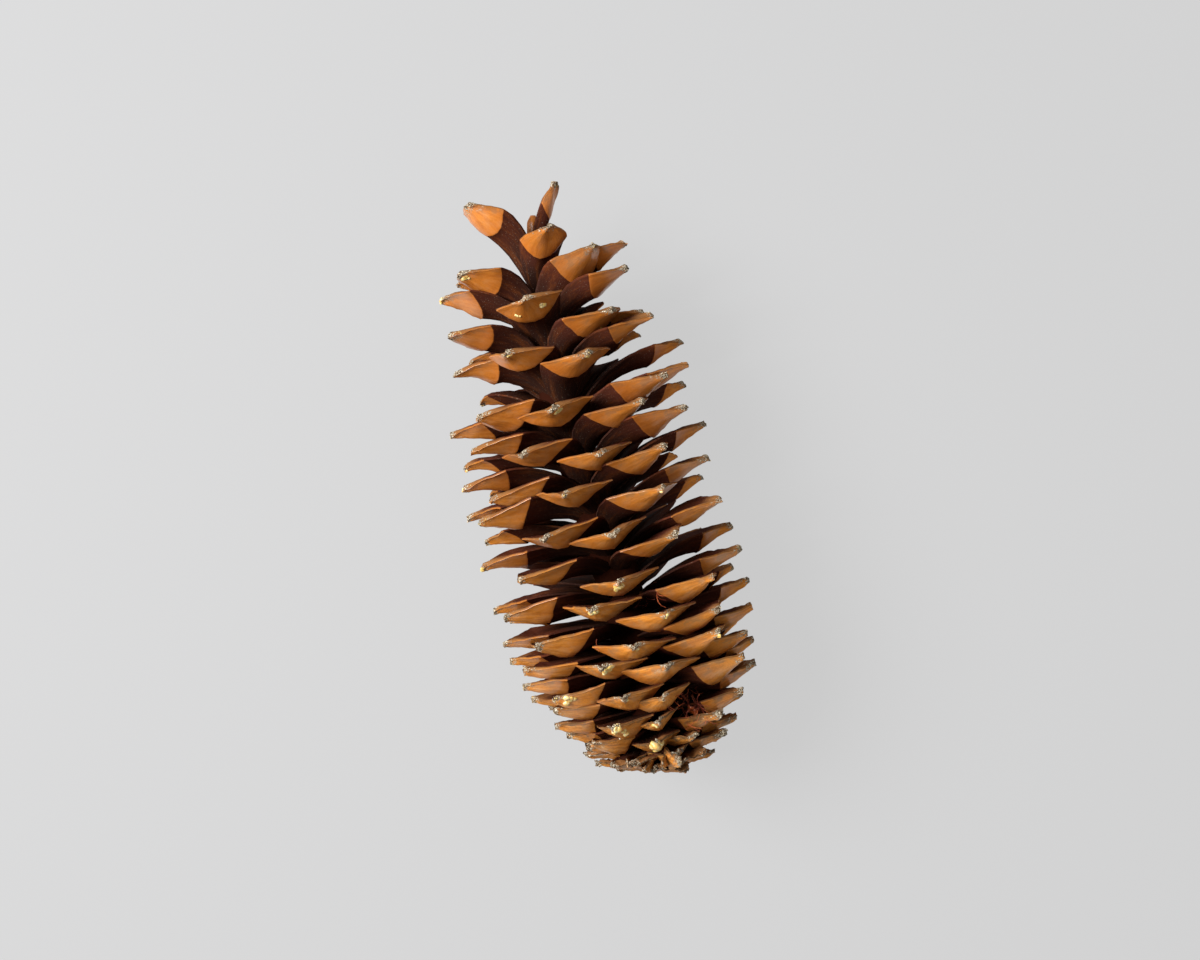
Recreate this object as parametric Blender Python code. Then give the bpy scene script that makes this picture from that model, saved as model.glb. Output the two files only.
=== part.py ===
"""Sugar pine cone, open and dry, lying on its side.

Metres, +Z up. The cone grew as one piece: a curved woody core with scales set round it in one
spiral, each turned by the golden angle from the one before it. The stem end is at -Y, the apex
at +Y. The origin is the middle of the underside of the cone's box. Lengths below are in mm and
angles in degrees until the mesh is made.
"""
import math
import random

import bmesh
import bpy
import numpy as np

MM = 0.001
SEED = 41

# The core: where it starts, which way it heads along its length, and how thick it is.
STEM_END = (31.01, -146.44, 60.0)
HEADING = ((0, 7.0), (50, 13.0), (90, 16.5), (140, 18.5), (190, 15.5), (240, 8.5), (290, 1.0))
CORE_RADIUS = ((2, 6.0), (14, 11.5), (120, 11.0), (215, 9.0), (252, 5.5), (266, 3.0),
               (274, 3.7), (282, 3.4), (286, 1.4))
CORE_STEP = 17

# The spiral: scale 0 is near the middle, lower numbers are nearer the stem.
GOLDEN_ANGLE = 137.508
FIRST_ANGLE = 18.1
FIRST_SCALE, LAST_SCALE = -97, 71
LOST_SCALES = (-13, 69, 70)
DRIFT = ((-100, 31.0), (-50, 11.7), (-5, -5.0), (40, -18.6), (80, -17.7))

# Along the spiral, by scale number: how far up the core and how far out its tip is, how steeply
# it leans toward the apex, how wide and deep it is, and how much its middle arches.
TIP_HEIGHT = ((-100, 2.0), (-95, 5.0), (-70, 24.9), (-45, 52.8), (-20, 82.9), (5, 131.3),
              (30, 177.5), (55, 237.5), (74, 297.5))
TIP_RADIUS = ((-100, 21.0), (-90, 32.0), (-70, 43.0), (-45, 58.6), (-20, 64.6), (5, 63.6),
              (30, 58.6), (55, 52.0), (74, 22.0))
LEAN = ((-100, -12.0), (-70, -1.0), (-45, 4.0), (-20, 6.0), (5, 12.0), (30, 17.0), (55, 30.0),
        (66, 45.0), (74, 62.0))
WIDTH = ((-100, 16.0), (-85, 22.0), (-60, 30.0), (-40, 37.0), (-20, 39.0), (40, 36.0),
         (60, 31.0), (74, 26.0))
KEEL_DEPTH = ((-100, 4.0), (-85, 5.5), (-60, 8.0), (0, 8.5), (45, 9.5), (74, 9.0))
ARCH = ((-100, -1.0), (-60, 0.0), (-30, 1.5), (0, 6.0), (40, 9.0), (55, 11.0), (66, 8.0),
        (74, 3.0))
CORNER_FROM_TIP = ((-100, 13.0), (-60, 16.0), (0, 19.0), (42, 16.5), (58, 11.0), (74, 10.5))
RIM_FROM_TIP = ((-100, 14.0), (-60, 20.0), (0, 23.0), (56, 22.0), (74, 17.0))
BLUNTNESS = ((-100, 0.6), (40, 0.58), (58, 0.72), (74, 0.8))

# Every scale's root starts well inside the wood: this far from the core's middle, or at this
# share of the core's radius where it is thin.
ROOT_RADIUS = 6.0
ROOT_SHARE = 0.5
ROOT_HALF_WIDTH = 3.0
ROOT_KEEL = 2.0
BEAK_HALF_WIDTH = 1.9
BEAK_KEEL = 2.0
TOP_ROUND = 0.9

# The small scales below this number have no section between their corners and their tip.
PLAIN_BELOW = -72

# The underside: tips that come this near the surface bear on it, and are worn flat there.
REST_DEPTH = 60.0
REST_NEAR = 3.5
REST_WEAR = 1.0

# Scales that lean out of the spiral: turn, lift along the core, reach, lean, roll, extra width.
LEANING_OUT = {
    71: (-4, 11.85, -9, 20, 28, -0.45), 68: (24, -2, 0, 0, 8, -0.15), 67: (0, 0, -12, 0, 0, -0.1),
    66: (0, -4, 10, -8, 0, 0), 65: (14, 20, 2, 4, 0, -0.05), 64: (0, -12, -6, 0, 0, 0),
    63: (21, 3, 0, 6, 10, 0.35), 60: (-20, 5, 0, 0, 4, 0), 58: (8, 6, 0, 2, 6, 0.2),
    57: (0, 6, -2, 0, 0, 0.2), 56: (0, -3, -9, 0, 0, 0), 55: (-8, 2, 0, 0, 9, 0),
    53: (0, -4, -3, 0, 0, 0), 52: (-6, 1, 2, 0, 4, 0), 50: (4, 4, 0, 0, 3, 0.1),
    49: (0, -2, -12, 0, 0, 0), 47: (-3, 0, 0, 0, -5, 0), 45: (-4, 11, 4, 0, 8, 0),
    44: (0, 6, -5, 0, 2, 0), 42: (4, 4, 0, 0, 1, 0), 41: (0, 0, -8, 0, 0, 0),
    40: (0, 8, 11, 0, 0, 0), 39: (-6, -5, 0, 0, 1, 0.15), 37: (10, -4, 5, 0, -5, 0.2),
    32: (0, 10, 8, 0, 0, 0), 29: (11, 3, 0, 0, 0, 0.15), 27: (0, 13, 10, 0, 0, 0),
    26: (-2, 1, 0, 0, -3, 0.05), 24: (2, 4, 4, 0, -4, 0.2), 21: (1, 0, 0, 0, -4, 0),
    19: (0, 2, 6, 0, 0, 0), 18: (-6, 0, 0, 0, 1, 0.2), 16: (-3, 2, 0, 0, 1, 0.15),
    13: (-3, 1, 0, 0, -7, 0), 10: (-4, 6, 0, 0, 5, 0.2), 8: (5, -2, 0, 0, -5, 0.1),
    5: (-2, -1, 0, 0, -2, 0.1), 3: (-2, -6, 5, 0, 6, 0), 0: (-7, 1, 0, 0, 1, 0),
    -2: (0, -11, 0, 0, 0, 0), -3: (-3, -1, 0, 0, -1, 0.05), -5: (-15, 2, 0, 0, 5, 0),
    -6: (0, -8, 0, 0, 0, 0), -8: (7, -5, 0, 0, -3, 0), -10: (0, -5, 0, 0, 0, 0),
    -11: (-6, -1, 0, 0, 4, 0.2), -15: (0, -5, 0, 0, 0, 0), -16: (10, 2, 0, 0, -8, 0),
    -18: (-19, 3, 0, 0, -4, 0.1), -21: (6, -1, 0, 0, -4, 0.05), -24: (-6, 3, 0, 0, 2, 0.2),
    -26: (-5, 0, 0, 0, 5, 0), -29: (5, -1, 0, 0, -9, 0.05), -34: (11, 0, 0, 0, 1, 0.1),
    -37: (5, 2, 0, 0, -7, 0), -42: (0, 1, 0, 0, -5, 0.1), -45: (-8, -2, 0, 0, 10, 0.05),
    -47: (13, 0, 0, 0, -5, 0.3), -50: (-6, 0, 0, 0, 4, 0), -55: (-20, 2, 0, 0, 8, 0),
    -58: (0, -5, 0, 0, 4, 0), -63: (-8, 0, 0, 0, 12, -0.2), -66: (-2, -5, 0, 0, 6, 0),
    -71: (5, -3, 0, 0, 8, -0.1), -79: (5, -5, 0, 0, 10, -0.1),
}

# How far any other scale may stray from the rule, in the same order.
STRAY = (2.0, 0.9, 1.5, 1.5, 5.0, 0.04)


def smooth(stations, place):
    """Value at a place along a list of (place, value) stations, without overshooting them."""
    places = [float(at) for at, _ in stations]
    values = [float(value) for _, value in stations]
    place = min(max(place, places[0]), places[-1])
    last = len(places) - 1
    i = max(j for j in range(last) if places[j] <= place)
    rise = [(values[j + 1] - values[j]) / (places[j + 1] - places[j]) for j in range(last)]

    def slope(j):
        before, after = rise[max(j - 1, 0)], rise[min(j, last - 1)]
        return 2 * before * after / (before + after) if before * after > 0 else 0.0

    span = places[i + 1] - places[i]
    t = (place - places[i]) / span
    return ((2 * t**3 - 3 * t**2 + 1) * values[i] + (t**3 - 2 * t**2 + t) * span * slope(i)
            + (3 * t**2 - 2 * t**3) * values[i + 1] + (t**3 - t**2) * span * slope(i + 1))


class Core:
    """The curved middle line of the cone, found by walking along its heading."""

    LOW, HIGH = -20, 360

    def __init__(self):
        self.heights = np.arange(self.LOW, self.HIGH + 1)
        self.heading = np.radians([smooth(HEADING, height) for height in self.heights])
        halfway = (self.heading[1:] + self.heading[:-1]) / 2
        x = np.concatenate([[0.0], np.cumsum(-np.sin(halfway))])
        y = np.concatenate([[0.0], np.cumsum(np.cos(halfway))])
        self.x = x - x[-self.LOW] + STEM_END[0]
        self.y = y - y[-self.LOW] + STEM_END[1]

    def at(self, height):
        """Middle, direction along the core and direction to the right, at a height up the core."""
        heading = np.interp(height, self.heights, self.heading)
        x = np.interp(height, self.heights, self.x)
        y = np.interp(height, self.heights, self.y)
        along = np.array([-math.sin(heading), math.cos(heading), 0.0])
        right = np.array([math.cos(heading), math.sin(heading), 0.0])
        return np.array([x, y, STEM_END[2]]), along, right


def leaning(number):
    """How one scale strays from the rule: set by hand, or a small seeded draw."""
    if number in LEANING_OUT:
        return LEANING_OUT[number]
    draw = random.Random(SEED * 1000 + number)
    return tuple(draw.uniform(-limit, limit) for limit in STRAY)


def resting_reach(angle, reach):
    """Tip radius of a scale once the cone lies on its side, where the surface stops the tip."""
    depth = -math.cos(angle)
    if depth <= 0:
        return reach
    touching = REST_DEPTH / depth
    return touching + REST_WEAR if reach > touching - REST_NEAR else reach


def scale_rings(core, number):
    """Rings of four points along one scale: left edge, keel, right edge and upper face."""
    turn, lift, reach, lean, roll, extra_width = leaning(number)
    angle = math.radians(FIRST_ANGLE + GOLDEN_ANGLE * number + smooth(DRIFT, number) + turn)
    tip_height = smooth(TIP_HEIGHT, number) + lift
    tip_radius = resting_reach(angle, smooth(TIP_RADIUS, number) + reach)
    slope = math.tan(math.radians(smooth(LEAN, number) + lean))
    up = np.array([0.0, 0.0, 1.0])

    middle, along, right = core.at(tip_height)
    outward = math.sin(angle) * right + math.cos(angle) * up
    tip = middle + tip_radius * outward
    root_height = tip_height - (tip_radius - ROOT_RADIUS) * slope
    root_radius = min(ROOT_RADIUS, ROOT_SHARE * smooth(CORE_RADIUS, root_height))
    root_middle, _, root_right = core.at(root_height)
    root = root_middle + root_radius * (math.sin(angle) * root_right + math.cos(angle) * up)

    length = np.linalg.norm(tip - root)
    spine = (tip - root) / length
    across = np.cross(along, outward)
    across -= spine * (across @ spine)
    across /= np.linalg.norm(across)
    upper = np.cross(spine, across)
    if upper @ along < 0:
        upper = -upper
    twist = math.radians(roll)
    across, upper = (math.cos(twist) * across + math.sin(twist) * upper,
                     math.cos(twist) * upper - math.sin(twist) * across)

    width = smooth(WIDTH, number) / 2 * (1 + extra_width)
    keel = smooth(KEEL_DEPTH, number) * (1 + extra_width)
    arch = smooth(ARCH, number)
    corner = 1 - smooth(CORNER_FROM_TIP, number) / length
    rim = 1 - smooth(RIM_FROM_TIP, number) / length
    halfway = (1 + corner) / 2
    sections = (
        (0.0, 0.0, ROOT_HALF_WIDTH, ROOT_KEEL, TOP_ROUND),
        (0.45 * rim, 0.45 * rim, 0.68 * width, 0.42 * keel, 0.3),
        (corner, rim, width, keel, -1.0),
        (halfway, halfway, smooth(BLUNTNESS, number) * width, 0.6 * keel, -0.4),
        (1.0, 1.0, BEAK_HALF_WIDTH, BEAK_KEEL, TOP_ROUND),
    )
    if number < PLAIN_BELOW:
        sections = sections[:3] + sections[4:]

    def on_spine(place):
        return root + place * length * spine + 4.4 * arch * place * (1 - place) * upper

    rings = []
    for place, keel_place, half, depth, top in sections:
        centre = on_spine(place)
        rings.append([centre + half * across, on_spine(keel_place) - depth * upper,
                      centre - half * across, centre + top * upper])
    return rings


def loft(name, rings):
    """A closed mesh object through rings that have the same number of points."""
    mesh = bmesh.new()
    loops = [[mesh.verts.new(point * MM) for point in ring] for ring in rings]
    for lower, higher in zip(loops, loops[1:]):
        for i in range(len(lower)):
            j = (i + 1) % len(lower)
            mesh.faces.new((lower[i], lower[j], higher[j], higher[i]))
    mesh.faces.new(loops[0])
    mesh.faces.new(reversed(loops[-1]))
    bmesh.ops.triangulate(mesh, faces=mesh.faces)
    bmesh.ops.recalc_face_normals(mesh, faces=mesh.faces)
    data = bpy.data.meshes.new(name)
    mesh.to_mesh(data)
    mesh.free()
    return bpy.data.objects.new(name, data)


def make_core(core):
    """The woody core as a tube along its middle line, ending in the small bud at the apex."""
    curve = bpy.data.curves.new("core", "CURVE")
    curve.dimensions = "3D"
    curve.bevel_depth = MM
    curve.bevel_resolution = 2
    curve.use_fill_caps = True
    low, high = CORE_RADIUS[0][0], CORE_RADIUS[-1][0]
    heights = sorted(set(range(low, high, CORE_STEP)) | {height for height, _ in CORE_RADIUS})
    spline = curve.splines.new("POLY")
    spline.points.add(len(heights) - 1)
    for point, height in zip(spline.points, heights):
        point.co = (*(core.at(height)[0] * MM), 1.0)
        point.radius = smooth(CORE_RADIUS, height)
    tube = bpy.data.objects.new("core_curve", curve)
    bpy.context.scene.collection.objects.link(tube)
    bpy.context.view_layer.update()
    data = bpy.data.meshes.new_from_object(tube.evaluated_get(bpy.context.evaluated_depsgraph_get()))
    bpy.data.objects.remove(tube)
    mesh = bmesh.new()
    mesh.from_mesh(data)
    bmesh.ops.remove_doubles(mesh, verts=mesh.verts, dist=0.0001 * MM)
    bmesh.ops.recalc_face_normals(mesh, faces=mesh.faces)
    mesh.to_mesh(data)
    mesh.free()
    return bpy.data.objects.new("cone", data)


def join(body, operation, collection):
    """Joins a collection of closed solids to a body, or cuts them from it, and removes them."""
    boolean = body.modifiers.new(operation.lower(), "BOOLEAN")
    boolean.operation = operation
    boolean.operand_type = "COLLECTION"
    boolean.collection = collection
    boolean.solver = "MANIFOLD"
    bpy.context.view_layer.update()
    depsgraph = bpy.context.evaluated_depsgraph_get()
    joined = bpy.data.meshes.new_from_object(body.evaluated_get(depsgraph))
    body.modifiers.clear()
    body.data = joined
    for piece in list(collection.objects):
        bpy.data.objects.remove(piece)
    bpy.data.collections.remove(collection)


def new_collection(name):
    """A collection in the scene."""
    collection = bpy.data.collections.new(name)
    bpy.context.scene.collection.children.link(collection)
    return collection


def make_surface():
    """The block below the cone that the tips are worn flat against."""
    size, top = 500.0, STEM_END[2] - REST_DEPTH
    corners = [(-size, -size), (size, -size), (size, size), (-size, size)]
    rings = [[np.array([x, y, z]) for x, y in corners] for z in (top - size, top)]
    return loft("surface", rings)


def dry_wood():
    """Tan, weathered wood."""
    material = bpy.data.materials.new("dry_wood")
    material.use_nodes = True
    shader = material.node_tree.nodes["Principled BSDF"]
    shader.inputs["Base Color"].default_value = (0.33, 0.15, 0.06, 1.0)
    shader.inputs["Roughness"].default_value = 0.6
    shader.inputs["Metallic"].default_value = 0.0
    return material


def main():
    """Makes the cone."""
    for leftover in list(bpy.data.objects):
        bpy.data.objects.remove(leftover)
    core = Core()
    part = new_collection("sugar_pine_cone")
    body = make_core(core)
    part.objects.link(body)

    scales = new_collection("scales")
    for number in range(FIRST_SCALE, LAST_SCALE + 1):
        if number not in LOST_SCALES:
            scales.objects.link(loft("scale", scale_rings(core, number)))
    join(body, "UNION", scales)

    surface = new_collection("surface")
    surface.objects.link(make_surface())
    join(body, "DIFFERENCE", surface)

    body.data.materials.clear()
    body.data.materials.append(dry_wood())


main()
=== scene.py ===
"""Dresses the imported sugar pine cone: an open, dry cone lying on its side on a pale surface.

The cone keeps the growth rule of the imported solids: a curved core, with scales set round it in
one spiral, each turned by the golden angle from the one before. Here each scale gets its real
form and finish: a bright tan exposed end with a sharp border, a dark covered part, a crusted
beak, and resin. Lengths are in mm and angles in degrees until a mesh is made.
"""
from __future__ import annotations

import logging
import math
import random
from dataclasses import dataclass, field
from enum import Enum
from functools import partialmethod

import bmesh
import bpy
import numpy as np
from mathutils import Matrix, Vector

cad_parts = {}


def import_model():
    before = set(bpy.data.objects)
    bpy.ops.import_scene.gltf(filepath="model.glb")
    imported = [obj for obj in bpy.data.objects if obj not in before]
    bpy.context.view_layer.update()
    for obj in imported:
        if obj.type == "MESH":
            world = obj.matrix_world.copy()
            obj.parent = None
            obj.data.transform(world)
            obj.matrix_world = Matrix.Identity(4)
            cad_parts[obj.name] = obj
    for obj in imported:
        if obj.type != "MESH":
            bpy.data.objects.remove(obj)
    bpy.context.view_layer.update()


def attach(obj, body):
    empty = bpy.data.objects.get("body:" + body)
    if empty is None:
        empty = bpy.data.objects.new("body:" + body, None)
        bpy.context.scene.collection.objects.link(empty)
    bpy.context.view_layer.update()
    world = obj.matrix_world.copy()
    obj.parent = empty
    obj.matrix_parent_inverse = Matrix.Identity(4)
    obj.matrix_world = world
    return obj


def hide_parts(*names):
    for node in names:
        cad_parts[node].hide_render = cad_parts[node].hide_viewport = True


LOG = logging.getLogger("pine_cone")
MM = 0.001
BORDER = 0.5  # where the exposed end begins, in the scale template's own length
UP = np.array([0.0, 0.0, 1.0])


# The growth rule


@dataclass(frozen=True)
class Stations:
    """A value that changes smoothly between the places where it is given."""

    pairs: tuple[tuple[float, float], ...]

    def at(self, place: float) -> float:
        """Value at a place, without overshooting the values on either side of it.

        Args:
            place: Where along the stations, in their own measure.

        Returns:
            The value there, or that of the nearest end.
        """
        places = [float(where) for where, _ in self.pairs]
        values = [float(value) for _, value in self.pairs]
        last = len(places) - 1
        place = min(max(place, places[0]), places[-1])
        i = max(j for j in range(last) if places[j] <= place)
        rise = [(values[j + 1] - values[j]) / (places[j + 1] - places[j]) for j in range(last)]

        def slope(j: int) -> float:
            """Slope at one station, level where the values turn back."""
            before, after = rise[max(j - 1, 0)], rise[min(j, last - 1)]
            return 2 * before * after / (before + after) if before * after > 0 else 0.0

        span = places[i + 1] - places[i]
        t = (place - places[i]) / span
        return (
            (2 * t**3 - 3 * t**2 + 1) * values[i] + (t**3 - 2 * t**2 + t) * span * slope(i)
            + (3 * t**2 - 2 * t**3) * values[i + 1] + (t**3 - t**2) * span * slope(i + 1)
        )


@dataclass(frozen=True)
class CoreLine:
    """The curved middle line of the cone, found by walking along its heading."""

    stem_end: tuple[float, float, float] = (31.01, -146.44, 60.0)
    heading: Stations = Stations(((0, 7.0), (50, 13.0), (90, 16.5), (140, 18.5), (190, 15.5),
                                  (240, 8.5), (290, 1.0)))
    radius: Stations = Stations(((2, 6.0), (14, 11.5), (120, 11.0), (215, 9.0), (252, 5.5),
                                 (266, 3.0), (274, 3.7), (282, 3.4), (286, 1.4)))
    low: int = -20
    high: int = 360

    def walk(self) -> tuple[np.ndarray, ...]:
        """Walks along the core in steps of one mm.

        Returns:
            Heights up the core, and the heading in radians, x and y at each.
        """
        heights = np.arange(self.low, self.high + 1)
        heading = np.radians([self.heading.at(height) for height in heights])
        halfway = (heading[1:] + heading[:-1]) / 2
        x = np.concatenate([[0.0], np.cumsum(-np.sin(halfway))])
        y = np.concatenate([[0.0], np.cumsum(np.cos(halfway))])
        return (heights, heading, x - x[-self.low] + self.stem_end[0],
                y - y[-self.low] + self.stem_end[1])


@dataclass(frozen=True)
class ScalePlace:
    """Where one scale sits, which way it points, and its sizes."""

    number: int
    root: np.ndarray
    spine: np.ndarray
    across: np.ndarray
    upper: np.ndarray
    length: float
    half_width: float
    keel: float
    arch: float
    corner: float
    rim: float
    bluntness: float
    cup: float


# Scales that lean out of the spiral: turn, lift along the core, reach, lean, roll, and share
# of extra width. Values left off are 0, and a scale left off strays by a small seeded draw.
LEANING_OUT: dict[int, tuple[float, ...]] = {
    71: (-4, 11.85, -9, 20, 28, -0.45), 68: (24, -2, 0, 0, 8, -0.15), 67: (0, 0, -12, 0, 0, -0.1),
    66: (0, -4, 10, -8), 65: (14, 20, 2, 4, 0, -0.05), 64: (0, -12, -6),
    63: (21, 3, 0, 6, 10, 0.35), 60: (-20, 5, 0, 0, 4), 58: (8, 6, 0, 2, 6, 0.2),
    57: (0, 6, -2, 0, 0, 0.2), 56: (0, -3, -9), 55: (-8, 2, 0, 0, 9), 53: (0, -4, -3),
    52: (-6, 1, 2, 0, 4), 50: (4, 4, 0, 0, 3, 0.1), 49: (0, -2, -12), 47: (-3, 0, 0, 0, -5),
    45: (-4, 11, 4, 0, 8), 44: (0, 6, -5, 0, 2), 42: (4, 4, 0, 0, 1), 41: (0, 0, -8),
    40: (0, 8, 11), 39: (-6, -5, 0, 0, 1, 0.15), 37: (10, -4, 5, 0, -5, 0.2), 32: (0, 10, 8),
    29: (11, 3, 0, 0, 0, 0.15), 27: (0, 13, 10), 26: (-2, 1, 0, 0, -3, 0.05),
    24: (2, 4, 4, 0, -4, 0.2), 21: (1, 0, 0, 0, -4), 19: (0, 2, 6), 18: (-6, 0, 0, 0, 1, 0.2),
    16: (-3, 2, 0, 0, 1, 0.15), 13: (-3, 1, 0, 0, -7), 10: (-4, 6, 0, 0, 5, 0.2),
    8: (5, -2, 0, 0, -5, 0.1), 5: (-2, -1, 0, 0, -2, 0.1), 3: (-2, -6, 5, 0, 6),
    0: (-7, 1, 0, 0, 1), -2: (0, -11), -3: (-3, -1, 0, 0, -1, 0.05), -5: (-15, 2, 0, 0, 5),
    -6: (0, -8), -8: (7, -5, 0, 0, -3), -10: (0, -5), -11: (-6, -1, 0, 0, 4, 0.2), -15: (0, -5),
    -16: (10, 2, 0, 0, -8), -18: (-19, 3, 0, 0, -4, 0.1), -21: (6, -1, 0, 0, -4, 0.05),
    -24: (-6, 3, 0, 0, 2, 0.2), -26: (-5, 0, 0, 0, 5), -29: (5, -1, 0, 0, -9, 0.05),
    -34: (11, 0, 0, 0, 1, 0.1), -37: (5, 2, 0, 0, -7), -42: (0, 1, 0, 0, -5, 0.1),
    -45: (-8, -2, 0, 0, 10, 0.05), -47: (13, 0, 0, 0, -5, 0.3), -50: (-6, 0, 0, 0, 4),
    -55: (-20, 2, 0, 0, 8), -58: (0, -5, 0, 0, 4), -63: (-8, 0, 0, 0, 12, -0.2),
    -66: (-2, -5, 0, 0, 6), -71: (5, -3, 0, 0, 8, -0.1), -79: (5, -5, 0, 0, 10, -0.1),
}


@dataclass(frozen=True)
class GrowthRule:
    """The spiral that sets every scale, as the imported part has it, by scale number."""

    core: CoreLine = CoreLine()
    seed: int = 41
    golden_angle: float = 137.508
    first_angle: float = 18.1
    first_scale: int = -97  # at the stem end
    last_scale: int = 71  # at the apex
    lost_scales: tuple[int, ...] = (-13, 69, 70)
    drift: Stations = Stations(((-100, 31.0), (-50, 11.7), (-5, -5.0), (40, -18.6), (80, -17.7)))
    tip_height: Stations = Stations(((-100, 2.0), (-95, 5.0), (-70, 24.9), (-45, 52.8),
                                     (-20, 82.9), (5, 131.3), (30, 177.5), (55, 237.5),
                                     (74, 297.5)))
    tip_radius: Stations = Stations(((-100, 21.0), (-90, 32.0), (-70, 43.0), (-45, 58.6),
                                     (-20, 64.6), (5, 63.6), (30, 58.6), (55, 52.0), (74, 22.0)))
    lean: Stations = Stations(((-100, -12.0), (-70, -1.0), (-45, 4.0), (-20, 6.0), (5, 12.0),
                               (30, 17.0), (55, 30.0), (66, 45.0), (74, 62.0)))
    width: Stations = Stations(((-100, 16.0), (-85, 22.0), (-60, 30.0), (-40, 37.0),
                                (-20, 39.0), (40, 36.0), (60, 31.0), (74, 26.0)))
    keel_depth: Stations = Stations(((-100, 4.0), (-85, 5.5), (-60, 8.0), (0, 8.5), (45, 9.5),
                                     (74, 9.0)))
    arch: Stations = Stations(((-100, -1.0), (-60, 0.0), (-30, 1.5), (0, 6.0), (40, 9.0),
                               (55, 11.0), (66, 8.0), (74, 3.0)))
    corner_from_tip: Stations = Stations(((-100, 13.0), (-60, 16.0), (0, 19.0), (42, 16.5),
                                          (58, 11.0), (74, 10.5)))
    rim_from_tip: Stations = Stations(((-100, 14.0), (-60, 20.0), (0, 23.0), (56, 22.0),
                                       (74, 17.0)))
    bluntness: Stations = Stations(((-100, 0.6), (40, 0.58), (58, 0.72), (74, 0.8)))
    cup: Stations = Stations(((-100, 0.6), (-30, 0.6), (0, 0.2), (30, -0.7), (74, -1.6)))
    # The shrivelled scales: x, y and z of the tip, half width, keel and roll.
    stubs: tuple[tuple[float, ...], ...] = (
        (22.5, -140.5, 97.0, 3.2, 2.4, 20), (15.0, -138.5, 93.0, 4.5, 3.0, -10),
        (19.0, -136.5, 97.0, 3.6, 2.6, 35), (38.5, -135.5, 97.0, 7.0, 4.5, -25),
        (33.0, -136.0, 99.0, 3.6, 3.0, 50),
    )
    stub_height: float = 9.0
    stub_form: dict[str, float] = field(default_factory=lambda: {
        "arch": 1.0, "corner": 0.8, "rim": 0.7, "bluntness": 0.6, "cup": 3.0})
    root_radius: float = 6.0
    root_share: float = 0.5
    rest_depth: float = 60.0  # from the core down to the surface that the cone lies on
    rest_near: float = 3.5  # a tip that comes this near is taken down to the surface
    rest_wear: float = 1.0  # and past it by this much, which is worn off flat
    stray: tuple[float, ...] = (2.0, 0.9, 1.5, 1.5, 5.0, 0.04)  # limits, in that order

    def leaning(self, number: int) -> tuple[float, ...]:
        """Says how one scale strays from the rule.

        Args:
            number: The scale's number along the spiral.

        Returns:
            The values listed, or else a small seeded draw of each.
        """
        if number in LEANING_OUT:
            given = LEANING_OUT[number]
            return given + (0,) * (len(self.stray) - len(given))
        draw = random.Random(self.seed * 1000 + number)
        return tuple(draw.uniform(-limit, limit) for limit in self.stray)

    def resting_reach(self, angle: float, reach: float) -> float:
        """Stops a scale's tip at the surface that the cone lies on.

        Args:
            angle: Where the scale points, in radians from straight up.
            reach: Its tip radius as the rule has it, in mm.

        Returns:
            The tip radius that it is given.
        """
        depth = -math.cos(angle)
        if depth <= 0:
            return reach
        touching = self.rest_depth / depth
        return touching + self.rest_wear if reach > touching - self.rest_near else reach

    def places(self) -> list[ScalePlace]:
        """Places every scale of the cone.

        Returns:
            The whole scales, from the stem end to the apex, then the shrivelled ones.
        """
        line = self.core.walk()
        numbers = range(self.first_scale, self.last_scale + 1)
        whole = [self.place(line, number) for number in numbers if number not in self.lost_scales]
        return whole + [self.stub(line, i) for i in range(len(self.stubs))]

    def stub(self, line: tuple[np.ndarray, ...], index: int) -> ScalePlace:
        """A shrivelled scale at the stem end.

        Args:
            line: The walked middle line.
            index: Which of the stubs.

        Returns:
            Its place and sizes.
        """
        x, y, z, half_width, keel, roll = self.stubs[index]
        root, along, _ = self.along_core(line, self.stub_height)
        spine = np.array([x, y, z]) - root
        length = float(np.linalg.norm(spine))
        spine /= length
        across, upper = self.rolled(spine, np.cross(along, spine), along, roll)
        return ScalePlace(
            number=self.first_scale - 1 - index, root=root, spine=spine, across=across,
            upper=upper, length=length, half_width=half_width, keel=keel, **self.stub_form,
        )

    @staticmethod
    def rolled(spine: np.ndarray, sideways: np.ndarray, along: np.ndarray, roll: float
               ) -> tuple[np.ndarray, np.ndarray]:
        """Finds a scale's other two directions, and turns them about its spine.

        Args:
            spine: Unit vector from the scale's root to its tip.
            sideways: A vector square to the spine.
            along: Unit vector up the core.
            roll: How far they turn, in degrees.

        Returns:
            Unit vectors across the scale and to its upper side.
        """
        across = sideways / np.linalg.norm(sideways)
        upper = np.cross(spine, across)
        if upper @ along < 0:
            upper = -upper
        turn = math.radians(roll)
        return (math.cos(turn) * across + math.sin(turn) * upper,
                math.cos(turn) * upper - math.sin(turn) * across)

    def along_core(self, line: tuple[np.ndarray, ...], height: float
                   ) -> tuple[np.ndarray, np.ndarray, np.ndarray]:
        """Middle, direction along the core and direction to the right, at a height.

        Args:
            line: The walked middle line.
            height: How far up the core, in mm.

        Returns:
            A point and two unit vectors.
        """
        heights, *walked = line
        heading, x, y = (float(np.interp(height, heights, values)) for values in walked)
        along = np.array([-math.sin(heading), math.cos(heading), 0.0])
        right = np.array([math.cos(heading), math.sin(heading), 0.0])
        return np.array([x, y, self.core.stem_end[2]]), along, right

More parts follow.
